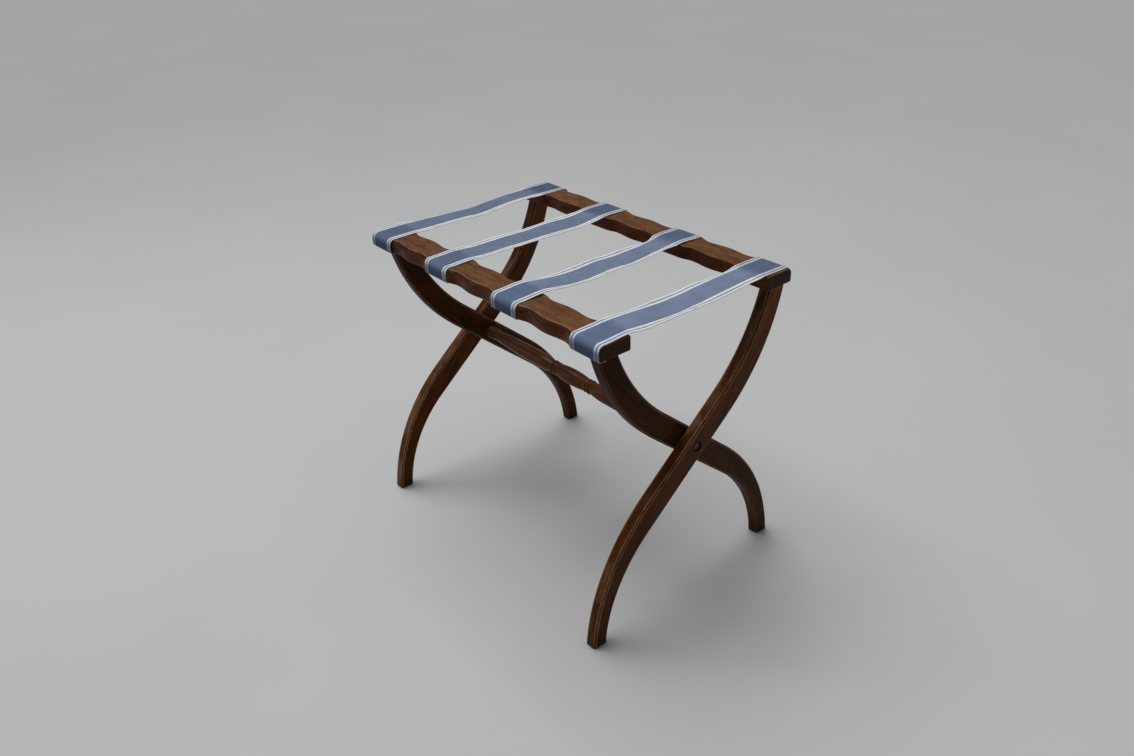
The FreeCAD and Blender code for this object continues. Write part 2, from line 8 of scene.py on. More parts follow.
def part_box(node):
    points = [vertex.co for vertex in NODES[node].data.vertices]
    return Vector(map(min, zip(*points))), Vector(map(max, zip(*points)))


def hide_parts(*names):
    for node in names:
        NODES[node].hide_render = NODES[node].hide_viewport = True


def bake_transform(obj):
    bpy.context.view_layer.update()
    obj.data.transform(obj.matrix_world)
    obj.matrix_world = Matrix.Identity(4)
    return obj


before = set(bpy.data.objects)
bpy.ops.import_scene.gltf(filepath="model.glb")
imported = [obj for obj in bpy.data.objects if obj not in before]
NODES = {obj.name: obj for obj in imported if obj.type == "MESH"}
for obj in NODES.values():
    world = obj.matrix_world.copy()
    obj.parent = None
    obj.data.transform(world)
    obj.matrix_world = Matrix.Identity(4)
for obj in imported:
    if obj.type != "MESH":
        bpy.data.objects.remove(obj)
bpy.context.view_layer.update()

SCENE = bpy.context.scene


# ------------------------------------------------------------------ small node-tree builder
class Mat:
    """A material with a Principled shader and short calls for the nodes that feed it."""

    def __init__(self, name):
        self.mat = bpy.data.materials.new(name)
        self.mat.use_nodes = True
        self.nt = self.mat.node_tree
        self.nt.nodes.clear()
        self.out = self.nt.nodes.new("ShaderNodeOutputMaterial")
        self.sh = self.nt.nodes.new("ShaderNodeBsdfPrincipled")
        self.nt.links.new(self.sh.outputs[0], self.out.inputs[0])
        self.coord = self.nt.nodes.new("ShaderNodeTexCoord")

    def put(self, socket, value):
        if isinstance(value, bpy.types.NodeSocket):
            self.nt.links.new(value, socket)
        else:
            socket.default_value = value

    def math(self, op, a, b=0.0, c=0.0, clamp=False):
        n = self.nt.nodes.new("ShaderNodeMath")
        n.operation, n.use_clamp = op, clamp
        self.put(n.inputs[0], a)
        self.put(n.inputs[1], b)
        if op in ("MULTIPLY_ADD", "SMOOTH_MIN", "SMOOTH_MAX", "COMPARE", "WRAP"):
            self.put(n.inputs[2], c)
        return n.outputs[0]

    def add(self, a, b):
        return self.math("ADD", a, b)

    def mul(self, a, b):
        return self.math("MULTIPLY", a, b)

    def axes(self, vector):
        n = self.nt.nodes.new("ShaderNodeSeparateXYZ")
        self.put(n.inputs[0], vector)
        return n.outputs[0], n.outputs[1], n.outputs[2]

    def vec(self, x, y, z):
        n = self.nt.nodes.new("ShaderNodeCombineXYZ")
        for i, v in enumerate((x, y, z)):
            self.put(n.inputs[i], v)
        return n.outputs[0]

    def noise(self, vector, scale=1.0, detail=2.0, rough=0.5, distort=0.0, colour=False):
        n = self.nt.nodes.new("ShaderNodeTexNoise")
        self.put(n.inputs["Vector"], vector)
        n.inputs["Scale"].default_value = scale
        n.inputs["Detail"].default_value = detail
        n.inputs["Roughness"].default_value = rough
        n.inputs["Distortion"].default_value = distort
        return n.outputs[1] if colour else n.outputs[0]

    def cells(self, vector, scale=1.0, random=1.0):
        n = self.nt.nodes.new("ShaderNodeTexVoronoi")
        n.feature = "F1"
        self.put(n.inputs["Vector"], vector)
        n.inputs["Scale"].default_value = scale
        n.inputs["Randomness"].default_value = random
        return n.outputs["Distance"], n.outputs["Color"]

    def span(self, value, a, b, c=0.0, d=1.0, smooth=True):
        n = self.nt.nodes.new("ShaderNodeMapRange")
        n.clamp = True
        n.interpolation_type = "SMOOTHSTEP" if smooth else "LINEAR"
        self.put(n.inputs[0], value)
        for i, v in enumerate((a, b, c, d)):
            n.inputs[i + 1].default_value = v
        return n.outputs[0]

    def band(self, value, a, b, soft):
        """1 between a and b, falling to 0 over soft on both sides."""
        return self.mul(self.span(value, a - soft, a), self.span(value, b, b + soft, 1.0, 0.0))

    def ramp(self, value, stops):
        n = self.nt.nodes.new("ShaderNodeValToRGB")
        self.put(n.inputs[0], value)
        e = n.color_ramp.elements
        while len(e) < len(stops):
            e.new(0.5)
        for k, (p, c) in enumerate(stops):
            e[k].position = p
            e[k].color = (*c, 1.0)
        return n.outputs[0]

    def mix(self, factor, a, b, blend="MIX"):
        n = self.nt.nodes.new("ShaderNodeMix")
        n.data_type, n.blend_type = "RGBA", blend
        n.clamp_factor = True
        self.put(n.inputs[0], factor)
        self.put(n.inputs[6], a if isinstance(a, bpy.types.NodeSocket) else (*a, 1.0))
        self.put(n.inputs[7], b if isinstance(b, bpy.types.NodeSocket) else (*b, 1.0))
        return n.outputs[2]

    def gain(self, colour, value):
        """colour times a grey value."""
        n = self.nt.nodes.new("ShaderNodeVectorMath")
        n.operation = "SCALE"
        self.put(n.inputs[0], colour)
        self.put(n.inputs["Scale"], value)
        return n.outputs[0]

    def dot(self, a, b):
        n = self.nt.nodes.new("ShaderNodeVectorMath")
        n.operation = "DOT_PRODUCT"
        self.put(n.inputs[0], a)
        self.put(n.inputs[1], b)
        return n.outputs["Value"]

    def bump(self, height, distance, strength=1.0, normal=None):
        n = self.nt.nodes.new("ShaderNodeBump")
        n.inputs["Strength"].default_value = strength
        n.inputs["Distance"].default_value = distance
        self.put(n.inputs["Height"], height)
        if normal is not None:
            self.put(n.inputs["Normal"], normal)
        return n.outputs[0]

    def edge(self, radius):
        """How far the surface's direction changes within radius of the point: 0 on a flat, higher by an edge."""
        bev = self.nt.nodes.new("ShaderNodeBevel")
        bev.samples = 4
        bev.inputs["Radius"].default_value = radius
        geo = self.nt.nodes.new("ShaderNodeNewGeometry")
        return self.math("SUBTRACT", 1.0, self.dot(bev.outputs[0], geo.outputs["Normal"]))

    def set(self, **sockets):
        for name, value in sockets.items():
            key = name.replace("_", " ")
            if not isinstance(value, bpy.types.NodeSocket) and key.endswith(("Color", "Tint")):
                value = (*value, 1.0)
            self.put(self.sh.inputs[key], value)
        return self.mat


def wear_to(obj, material):
    """Gives a CAD node's object the material in all its slots."""
    for s in obj.material_slots:
        s.material = material


# ------------------------------------------------------------------ wood
def wood(name, along, seed, kind):
    """Walnut-stained beech under an old varnish. along is the grain's direction, kind is rail, leg, inner or stretcher;
    inner is the leg wood painted darker, as painted shade.
    """
    m = Mat(name)
    m_obj, m_nrm = m.coord.outputs["Object"], m.coord.outputs["Normal"]
    along = np.array(along, float) / np.linalg.norm(along)
    side = np.cross(along, (0.0, 0.0, 1.0))
    side = side / np.linalg.norm(side) if np.linalg.norm(side) > 1e-3 else np.array((1.0, 0, 0))
    up = np.cross(side, along)
    lng = m.math("MULTIPLY_ADD", m.dot(m_obj, tuple(along)), 1000.0, seed * 173.0)
    acr = m.math("MULTIPLY_ADD", m.dot(m_obj, tuple(side)), 1000.0, seed * 31.0)
    ris = m.math("MULTIPLY_ADD", m.dot(m_obj, tuple(up)), 1000.0, seed * 17.0)
    nx, ny, nz = m.axes(m_nrm)

    # the board wanders slowly, so its streaks aren't straight
    wander = m.noise(m.vec(m.mul(lng, 0.006), m.mul(acr, 0.012), m.mul(ris, 0.012)), 1.0, 1.0)
    acr2 = m.math("MULTIPLY_ADD", wander, 26.0, acr)
    ris2 = m.math("MULTIPLY_ADD", wander, 17.0, ris)
    broad = m.noise(m.vec(m.mul(lng, 0.0055), m.mul(acr2, 0.105), m.mul(ris2, 0.105)), 1.0, 3.0, 0.55)
    streak = m.noise(m.vec(m.mul(lng, 0.016), m.mul(acr2, 0.52), m.mul(ris2, 0.52)), 1.0, 3.0, 0.6)
    fleck = m.noise(m.vec(m.mul(lng, 0.11), m.mul(acr2, 1.5), m.mul(ris2, 1.5)), 1.0, 2.0, 0.65)
    pore = m.span(fleck, 0.60, 0.72)
    patch = m.noise(m.vec(m.mul(lng, 0.011), m.mul(acr, 0.022), m.mul(ris, 0.022)), 1.0, 2.0, 0.55)
    blot = m.noise(m.vec(m.mul(lng, 0.045), m.mul(acr, 0.06), m.mul(ris, 0.06)), 1.0, 3.0, 0.6)

    grain = m.add(m.mul(broad, 0.50), m.add(m.mul(streak, 0.36), m.mul(patch, 0.14)))
    tones = {
        "rail": [(0.30, (0.030, 0.0066, 0.0013)), (0.44, (0.056, 0.0138, 0.0026)),
                 (0.56, (0.084, 0.0230, 0.0043)), (0.70, (0.120, 0.0370, 0.0076))],
        "leg": [(0.30, (0.027, 0.0066, 0.0009)), (0.44, (0.055, 0.0150, 0.0018)),
                (0.57, (0.088, 0.0265, 0.0030)), (0.72, (0.130, 0.0430, 0.0060))],
        # inner legs: the leg wood's tones painted darker, as painted shade for where they stand between the outer legs
        # and under the rails
        "inner": [(0.30, (0.017, 0.0047, 0.0012)), (0.44, (0.032, 0.0095, 0.0024)),
                  (0.57, (0.050, 0.0158, 0.0042)), (0.72, (0.078, 0.0262, 0.0072))],
        "stretcher": [(0.30, (0.022, 0.0066, 0.0016)), (0.44, (0.046, 0.0150, 0.0036)),
                      (0.57, (0.074, 0.0262, 0.0064)), (0.72, (0.112, 0.0440, 0.0120))],
    }[kind]
    colour = m.ramp(grain, tones)
    # the stain took redder in some places and darker in others
    colour = m.mix(m.span(patch, 0.50, 0.68, 0.0, 0.55), colour, m.mix(1.0, colour, (1.30, 0.86, 0.62), "MULTIPLY"))
    colour = m.gain(colour, m.span(blot, 0.25, 0.75, 0.80, 1.16))
    colour = m.gain(colour, m.math("SUBTRACT", 1.0, m.mul(pore, 0.38)))

    rub = m.noise(m.vec(m.mul(lng, 0.045), m.mul(acr, 0.11), m.mul(ris, 0.11)), 1.0, 3.0, 0.65)
    scuff = m.noise(m.vec(m.mul(lng, 0.22), m.mul(acr, 0.9), m.mul(ris, 0.9)), 1.0, 2.0, 0.6)
    spots_d, spots_c = m.cells(m.vec(m.mul(lng, 0.030), m.mul(acr, 0.048), m.mul(ris, 0.048)), 1.0)
    dent = m.mul(m.span(spots_d, 0.045, 0.125, 1.0, 0.0), m.span(m.axes(spots_c)[0], 0.45, 0.5))

    rough = m.span(rub, 0.3, 0.7, 0.34, 0.50)
    if kind == "rail":
        # hands, bags and webbing have rubbed the tops down to a lighter brown; the tops are also painted greyer and
        # lighter, a painted sheen
        top = m.span(nz, 0.80, 0.97)
        worn_and_sheen = m.mul(top, m.span(rub, 0.34, 0.62, 0.34, 0.94))
        grey = m.gain(m.ramp(grain, [(0.30, (0.090, 0.0400, 0.0160)), (0.50, (0.140, 0.0650, 0.0270)),
                                     (0.70, (0.190, 0.0930, 0.0410))]),
                      m.math("SUBTRACT", 1.0, m.mul(pore, 0.34)))
        # rubbed through to a warmer tan in places, grimy in others
        tan = m.noise(m.vec(m.mul(lng, 0.026), m.mul(acr, 0.050), m.add(m.mul(ris, 0.05), 7.0)), 1.0, 3.0, 0.62)
        grey = m.mix(m.span(tan, 0.56, 0.66, 0.0, 0.60), grey, (0.185, 0.078, 0.026))
        grey = m.mix(m.span(tan, 0.42, 0.32, 0.0, 0.45), grey, (0.070, 0.038, 0.020))
        colour = m.mix(worn_and_sheen, colour, grey)
        rim = m.mul(m.band(nz, 0.90, 0.95, 0.035), m.span(m.math("ABSOLUTE", nx), 0.30, 0.55, 1.0, 0.0))
        rim = m.mul(rim, m.mul(m.span(scuff, 0.38, 0.56, 0.25, 1.0), m.span(rub, 0.36, 0.58, 0.40, 1.0)))
        colour = m.mix(m.mul(rim, 0.66), colour, (0.285, 0.165, 0.085))
        # painted shade: the rounding under that rubbed line is darkened, and the upright part of the face is painted
        # darker and warmer
        under = m.mul(m.band(nz, 0.34, 0.76, 0.14), m.span(scuff, 0.30, 0.60, 0.7, 1.0))
        colour = m.gain(colour, m.math("SUBTRACT", 1.0, m.mul(under, 0.46)))
        upright_shade = m.mul(m.band(nz, -0.45, 0.14, 0.20), m.span(rub, 0.34, 0.62, 0.35, 1.0))
        colour = m.mix(upright_shade, colour, m.mix(1.0, colour, (0.84, 0.70, 0.52), "MULTIPLY"))
        ends = m.span(m.math("ABSOLUTE", nx), 0.75, 0.96)
        colour = m.mix(m.mul(ends, 0.80), colour, m.ramp(fleck, [(0.3, (0.010, 0.0055, 0.0030)), (0.7, (0.028, 0.0145, 0.0075))]))
        low = m.span(nz, -0.6, -0.95)
        colour = m.mix(m.mul(low, 0.45), colour, (0.110, 0.056, 0.026))
        colour = m.gain(colour, m.math("SUBTRACT", 1.0, m.mul(m.mul(dent, top), 0.55)))
        rough = m.math("ADD", rough, m.mul(worn_and_sheen, 0.10))
        edge = m.edge(0.0013)
        lines = m.mul(m.span(edge, 0.015, 0.08), m.span(scuff, 0.36, 0.60))
        lines = m.mul(lines, m.span(nz, -0.5, 0.1, 0.35, 1.0))
        colour = m.mix(m.mul(lines, 0.60), colour, (0.250, 0.130, 0.058))
        # the varnish has worn off the end's rounded upper edge, and it is painted lighter there, partly a painted
        # highlight
        nose_wear_and_highlight = m.mul(m.band(m.math("ABSOLUTE", nx), 0.30, 0.86, 0.12), m.span(nz, 0.30, 0.55))
        colour = m.mix(m.mul(nose_wear_and_highlight, m.span(scuff, 0.34, 0.60, 0.25, 0.85)), colour, (0.150, 0.066, 0.026))
    elif kind in ("leg", "inner"):
        px, py, pz = m.axes(m_obj)
        flank = m.span(m.math("ABSOLUTE", nx), 0.80, 0.97)
        # the bevel's band is rubbed a little, the lines along it through to the wood
        bevel = m.band(m.math("ABSOLUTE", nx), 0.52, 0.86, 0.08)
        colour = m.mix(m.mul(bevel, m.span(rub, 0.36, 0.60, 0.20, 0.60)), colour, (0.150, 0.062, 0.024))
        off = m.math("SUBTRACT", pz, 0.275)
        ring = m.math("SQRT", m.add(m.mul(py, py), m.mul(off, off)))      # distance from the pivot's axis
        # painted sheen: lighter, greyish long patches on the faces between the bevels stand in for the varnish's
        # reflection
        sheen_noise = m.noise(m.vec(m.mul(lng, 0.0075), m.mul(acr, 0.03), m.add(m.mul(ris, 0.03), 3.0)), 1.0, 3.0, 0.6)
        face = m.span(m.math("ABSOLUTE", nx), 0.30, 0.50, 1.0, 0.0)
        if kind == "leg":
            colour = m.mix(m.mul(m.mul(face, m.span(sheen_noise, 0.47, 0.62)), m.span(streak, 0.35, 0.62, 0.30, 0.75)), colour, (0.175, 0.100, 0.062))
        edge = m.mul(m.edge(0.0019), m.span(ring, 0.0100, 0.0130))
        lines = m.mul(m.span(edge, 0.006, 0.030), m.span(scuff, 0.34, 0.58, 0.45, 1.0))
        lines = m.mul(lines, m.span(rub, 0.32, 0.54, 0.35, 1.0))
        lines = m.mul(lines, m.span(nz, -0.50, 0.02, 0.0, 1.0))     # the edges that luggage and hands meet
        # the inner legs' lines and chips are painted darker, as painted shade
        colour = m.mix(lines, colour, (0.500, 0.300, 0.170) if kind == "leg" else (0.190, 0.105, 0.055))
        chips = m.mul(m.mul(m.span(edge, 0.006, 0.03), m.span(scuff, 0.62, 0.70)), m.span(nz, -0.50, 0.02, 0.2, 1.0))
        colour = m.mix(chips, colour, (0.660, 0.460, 0.300) if kind == "leg" else (0.260, 0.160, 0.090))
        # painted shade on the faces just under the rail, which shadows them; there the outer legs' flanks are lighter
        # and more golden, and the inner legs' flanks get painted shade too
        high = m.span(pz, 0.33, 0.48)
        colour = m.gain(colour, m.math("SUBTRACT", 1.0, m.mul(m.mul(high, m.math("SUBTRACT", 1.0, flank)), 0.50)))
        if kind == "leg":
            colour = m.mix(m.mul(m.mul(high, flank), 0.75), colour, m.mix(1.0, colour, (1.60, 1.75, 1.90), "MULTIPLY"))
        else:
            colour = m.gain(colour, m.math("SUBTRACT", 1.0, m.mul(m.mul(high, flank), 0.40)))
        foot = m.span(pz, 0.0, 0.045, 1.0, 0.0)
        colour = m.gain(colour, m.math("SUBTRACT", 1.0, m.mul(foot, m.span(rub, 0.35, 0.7, 0.20, 0.55))))
        # painted shade: a dark ring round the pivot, for the shade in its recess
        colour = m.gain(colour, m.math("SUBTRACT", 1.0, m.mul(m.span(ring, 0.0080, 0.0125, 1.0, 0.0), 0.60)))
        rough = m.math("ADD", rough, m.mul(lines, 0.16))
    else:
        edge = m.edge(0.0014)
        lines = m.mul(m.span(edge, 0.010, 0.070), m.span(scuff, 0.36, 0.60, 0.30, 1.0))
        colour = m.mix(m.mul(lines, 0.70), colour, (0.300, 0.175, 0.090))
        rough = m.math("SUBTRACT", rough, 0.07)
    rough = m.math("ADD", rough, m.mul(pore, 0.12))
    relief = m.add(m.mul(streak, 0.5), m.add(m.mul(pore, -0.55), m.mul(scuff, 0.25)))
    relief = m.add(relief, m.mul(dent, -1.4))
    normal = m.bump(m.mul(rub, 1.0), 0.0006, 0.55)
    normal = m.bump(relief, 0.00016, 0.55, normal)
    m.set(Base_Color=colour, Roughness=rough, Normal=normal, IOR=1.5, Specular_IOR_Level={"inner": 0.05, "leg": 0.07, "stretcher": 0.12}.get(kind, 0.09), Specular_Tint=(1.0, 0.70, 0.46),
          Coat_Weight=0.04, Coat_Roughness=0.20, Coat_IOR=1.45)
    return m.mat


def main_axis(node):
    """The direction in which a node is longest, from its own vertices."""
    co = np.array([v.co for v in NODES[node].data.vertices], float)
    co = np.unique(co.round(6), axis=0)
    co = co - co.mean(0)
    axis = np.linalg.svd(co, full_matrices=False)[2][0]
    return axis if axis[2] >= 0 else -axis


for k, rail in enumerate(("front_rail", "rear_rail")):
    wear_to(NODES[rail], wood("wood_" + rail, (1.0, 0.0, 0.0), 1 + 3 * k, "rail"))
for k, leg in enumerate(("outer_leg_left", "outer_leg_right", "inner_leg_left", "inner_leg_right")):
    axis = main_axis(leg)
    wear_to(NODES[leg], wood("wood_" + leg, (0.0, axis[1], axis[2]), 6 + 2 * k, "inner" if "inner" in leg else "leg"))
wear_to(NODES["stretcher"], wood("wood_stretcher", (1.0, 0.0, 0.0), 15, "stretcher"))


# ------------------------------------------------------------------ dowels and metal
def bare_dowel():
    m = Mat("wood_dowel_ends")
    x, y, z = m.axes(m.coord.outputs["Object"])
    end = m.noise(m.vec(m.mul(x, 900.0), m.mul(y, 900.0), m.mul(z, 60.0)), 1.0, 3.0, 0.6)
    ring = m.noise(m.vec(m.mul(x, 320.0), m.mul(y, 320.0), m.mul(z, 40.0)), 1.0, 2.0, 0.5, 0.6)
    colour = m.ramp(m.add(m.mul(end, 0.5), m.mul(ring, 0.5)),
                    [(0.3, (0.150, 0.075, 0.034)), (0.55, (0.270, 0.150, 0.075)), (0.75, (0.350, 0.210, 0.110))])
    return m.set(Base_Color=colour, Roughness=m.span(end, 0.3, 0.7, 0.45, 0.70),
                 Normal=m.bump(end, 0.0001, 0.5), Specular_IOR_Level=0.4)


def old_steel(name, dark, light, rough_lo, rough_hi, rust, shine=1.0):
    """Steel with stains. shine is how bare the metal is: lower where old polish has run over it."""
    m = Mat(name)
    obj = m.coord.outputs["Object"]
    cloud = m.noise(obj, 260.0, 4.0, 0.6)
    fine = m.noise(obj, 1500.0, 2.0, 0.6)
    colour = m.ramp(m.add(m.mul(cloud, 0.7), m.mul(fine, 0.3)), [(0.32, dark), (0.68, light)])
    stain = m.span(m.noise(obj, 120.0, 3.0, 0.65), 0.56, 0.66)
    colour = m.mix(m.mul(stain, rust), colour, (0.090, 0.038, 0.016))
    bright = m.mul(m.span(m.edge(0.0004), 0.02, 0.12), m.span(fine, 0.4, 0.6))
    colour = m.mix(m.mul(bright, 0.6), colour, (0.42, 0.41, 0.39))
    return m.set(Base_Color=colour, Metallic=m.mul(m.math("SUBTRACT", 1.0, m.mul(stain, rust)), shine),
                 Roughness=m.span(cloud, 0.3, 0.7, rough_lo, rough_hi),
                 Normal=m.bump(m.add(m.mul(cloud, 0.6), m.mul(fine, 0.4)), 0.00008, 0.6))


STEEL = old_steel("steel_pivot", (0.052, 0.041, 0.033), (0.120, 0.100, 0.082), 0.46, 0.68, 0.75, 0.5)
BLUED = old_steel("steel_blued_tacks", (0.030, 0.034, 0.044), (0.105, 0.112, 0.130), 0.30, 0.52, 0.35)
DOWEL = bare_dowel()
for n, o in NODES.items():
    if n.endswith("_dowels"):
        wear_to(o, DOWEL)
    elif n.endswith("_tacks"):
        wear_to(o, BLUED)
    elif "screw" in n or "washer" in n:
        wear_to(o, STEEL)


# ------------------------------------------------------------------ webbing
WIDTH = 58.5          # all straps, mm
HALF = WIDTH / 2
THICK = 1.4
REACH = 221.33        # the path from a tail's cut end to mid span, mm


def webbing():
    """Closely woven cotton webbing: blue, with a white border and a second white line on each side."""
    m = Mat("webbing_blue_white")
    nu = m.nt.nodes.new("ShaderNodeAttribute")
    nu.attribute_name = "strap_u"
    nv = m.nt.nodes.new("ShaderNodeAttribute")
    nv.attribute_name = "strap_v"
    ns = m.nt.nodes.new("ShaderNodeAttribute")
    ns.attribute_name = "strap_n"
    u = m.mul(nu.outputs["Fac"], 1000.0)
    v = m.mul(nv.outputs["Fac"], 1000.0)
    lot = m.mul(ns.outputs["Fac"], 57.0)
    # weft picks wander by a fraction of a yarn, so a line's edge isn't ruled
    jig = m.noise(m.vec(m.mul(u, 0.5), m.mul(v, 0.9), lot), 1.0, 2.0, 0.6)
    slow = m.noise(m.vec(m.mul(u, 0.02), m.mul(v, 0.035), lot), 1.0, 1.0)
    d = m.math("SUBTRACT", HALF, m.math("ABSOLUTE", u))
    d = m.add(d, m.add(m.math("MULTIPLY_ADD", jig, 0.50, -0.25), m.math("MULTIPLY_ADD", slow, 0.7, -0.35)))
    line1 = m.span(d, 3.45, 3.75, 1.0, 0.0)
    line2 = m.band(d, 5.9, 9.65, 0.25)
    white = m.math("MAXIMUM", line1, line2)

    pick = m.math("SINE", m.mul(v, 2 * math.pi / 1.30))            # crosswise ribs
    odd = m.math("SINE", m.mul(v, math.pi / 1.30))
    yarn = m.math("SINE", m.math("MULTIPLY_ADD", u, 2 * math.pi / 0.90, m.mul(odd, 1.6)))
    height = m.add(m.mul(pick, 0.62), m.mul(yarn, 0.38))
    weave_gap_shade = m.span(height, -1.0, -0.15, 1.0, 0.0)

    ends = m.noise(m.vec(m.mul(u, 1.15), m.mul(v, 0.010), lot), 1.0, 2.0, 0.65)      # each lengthwise yarn
    wefts = m.noise(m.vec(m.mul(u, 0.035), m.mul(v, 0.75), lot), 1.0, 2.0, 0.65)     # each crosswise yarn
    fade = m.noise(m.vec(m.mul(u, 0.030), m.mul(v, 0.022), lot), 1.0, 3.0, 0.55)
    soil = m.noise(m.vec(m.mul(u, 0.10), m.mul(v, 0.060), m.add(lot, 9.0)), 1.0, 4.0, 0.6)
    blue = m.ramp(m.add(m.mul(ends, 0.45), m.mul(wefts, 0.55)),
                  [(0.28, (0.132, 0.180, 0.290)), (0.50, (0.180, 0.238, 0.368)), (0.74, (0.240, 0.304, 0.440))])
    blue = m.mix(m.span(fade, 0.44, 0.72, 0.0, 0.55), blue, (0.250, 0.310, 0.430))
    blue = m.gain(blue, m.span(ns.outputs["Fac"], 1.0, 4.0, 0.71, 0.95, False))       # painted shade: the lower the strap's number, the darker its blue
    pale = m.ramp(m.add(m.mul(ends, 0.4), m.mul(wefts, 0.6)),
                  [(0.28, (0.74, 0.75, 0.79)), (0.70, (0.91, 0.92, 0.95))])
    pale = m.mix(m.span(soil, 0.50, 0.78, 0.0, 0.45), pale, (0.52, 0.52, 0.54))
    colour = m.mix(white, blue, pale)
    # painted shade in the gaps between the yarns
    colour = m.gain(colour, m.math("SUBTRACT", 1.0, m.mul(weave_gap_shade, 0.34)))
    colour = m.gain(colour, m.span(soil, 0.30, 0.78, 1.05, 0.90))
    # the fold over the rail is rubbed pale, and painted lighter along its crest, partly a painted highlight
    from_mid = m.math("ABSOLUTE", m.math("SUBTRACT", v, REACH))
    crest_rub_and_highlight = m.mul(m.band(from_mid, 184.0, 196.0, 6.0), m.span(soil, 0.3, 0.7, 0.25, 0.70))
    colour = m.mix(m.mul(crest_rub_and_highlight, 0.22), colour, (0.32, 0.38, 0.50))
    # painted shade: over the rails the strap is darker, where the dark wood behind it lets no light through; the
    # darkening fades out where light comes through
    rail_backed_shade = m.mul(m.span(m.math("MULTIPLY_ADD", soil, 10.0, from_mid), 128.0, 149.0), m.math("MULTIPLY_ADD", white, -0.55, 1.0))
    colour = m.mix(m.mul(rail_backed_shade, 0.85), colour, m.mix(1.0, colour, (0.58, 0.64, 0.74), "MULTIPLY"))
    # painted shade: the rear half darkens from 110 mm past mid span onto the rear rail
    colour = m.gain(colour, m.span(m.math("SUBTRACT", v, REACH), 110.0, 150.0, 1.0, 0.78))
    # painted shade: the faces that turn down over the rails' outer edges are darkened
    colour = m.mix(m.span(from_mid, 189.0, 200.0), colour, m.mix(1.0, colour, (0.34, 0.39, 0.48), "MULTIPLY"))
    fuzz = m.noise(m.vec(m.mul(u, 2.2), m.mul(v, 2.2), lot), 1.0, 2.0, 0.6)
    relief = m.add(height, m.mul(fuzz, 0.7))
    rough = m.span(fuzz, 0.3, 0.7, 0.78, 0.94)
    slub = m.add(m.mul(wefts, 0.6), m.mul(ends, 0.4))
    normal = m.bump(slub, 0.0005, 0.55)
    normal = m.bump(relief, 0.00016, 0.75, normal)
    return m.set(Base_Color=colour, Roughness=rough, Normal=normal, Specular_IOR_Level=0.22,
                 Sheen_Weight=0.10, Sheen_Roughness=0.45, Sheen_Tint=(0.80, 0.86, 1.0))


WEB = webbing()

STATIONS = (-172, -150, -135, -120, -105, -90, -75, -60, -45, -30, -15, 0, 15, 30, 45, 60, 75, 90, 105, 120, 135, 150, 172)
CURL_AT = (-160, -135, -100, -65, -30, 0, 30, 65, 100, 135, 160)
# Each strap: height over a flat line from rail to rail, in mm, of the edge away from the near end (far) and of the edge by
# it (near); the height of its middle; its sideways drift at the rear; and how many degrees each border curls down
STRAPS = {
    1: dict(far=(0, .4, .5, .7, 1.0, .8, -.5, -.9, -1.5, -2.3, -3.0, -3.4, -2.7, -1.5, -.5, .2, 1.2, 1.6, 1.4, .8, .5, .4, 0),
            near=(0, .4, .5, -.9, -1.5, -1.7, -1.9, -1.7, -1.8, -2.2, -3.0, -3.4, -2.8, -1.7, -.4, .5, .7, 1.0, 1.1, .7, .4, .2, 0),
            mid=-3.4, drift=-3.5, border=16.5,
            curl_far=(0, 2, 15, 17, 18, 21, 27, 30, 24, 4, 0), curl_near=(0, 2, -5, -7, -5, 0, -5, -7, -5, 1, 0)),
    2: dict(far=(0, 1.2, 1.2, 0, -1.5, -1.7, -1.8, -1.4, -1.3, -1.7, -2.4, -2.9, -2.6, -1.8, -1.2, -1.3, -2.3, -3.2, -3.0, -1.8, 0, .4, 0),
            near=(0, 1.0, .9, -1.4, -2.1, -2.2, -2.0, -2.1, -2.8, -3.3, -3.2, -2.9, -3.2, -4.0, -5.0, -6.0, -6.6, -6.0, -4.4, -1.9, .2, .9, 0),
            mid=-2.9, drift=-3.0, curl_far=(0, 0, -5, -7, -3, 1, 4, 0, -5, 0, 0), curl_near=(0, 4, -5, -9, -7, -2, -7, -12, -6, 2, 0)),
    3: dict(far=(0, 1.8, 1.8, .1, -2.2, -4.2, -5.8, -6.9, -7.2, -7.0, -6.3, -5.5, -6.2, -7.0, -7.2, -6.8, -6.6, -6.2, -5.2, -3.3, -.2, .8, 0),
            near=(0, 1.9, 2.6, .4, -2.6, -4.8, -6.6, -7.6, -7.6, -7.0, -6.1, -5.5, -6.2, -7.6, -7.9, -6.6, -4.8, -3.1, -1.8, -.6, 1.2, 1.5, 0),
            mid=-5.5, drift=-1.0, curl_far=(0, 12, 13, -7, -15, -14, -16, -15, 5, 27, 8), curl_near=(0, 3, -15, -20, -5, -13, -21, -19, -15, 2, 0)),
    4: dict(far=(0, .8, 1.4, 1.5, 1.2, .3, -.9, -2.2, -3.4, -4.2, -4.5, -4.3, -4.1, -3.5, -2.7, -1.9, -1.3, -1.1, -1.1, -1.0, 0, .3, 0),
            near=(0, 1.5, 2.0, .4, -1.3, -2.6, -4.0, -5.2, -6.1, -6.4, -5.7, -4.6, -3.7, -2.7, -1.9, -1.3, -.6, 0, .6, 1.2, .9, .2, 0),
            mid=-4.6, drift=-3.0, curl_far=(0, 1, 14, 2, -15, -8, -14, 8, 16, 9, 0), curl_near=(0, 2, 2, -12, -22, -5, 8, 10, 8, 2, 0)),
}
GRID = np.arange(-200.0, 200.5, 1.0)
KERNEL = np.exp(-0.5 * (np.arange(-18, 19) / 5.5) ** 2)
KERNEL /= KERNEL.sum()


def smooth_step(t):
    t = np.clip(t, 0.0, 1.0)
    return t * t * (3 - 2 * t)


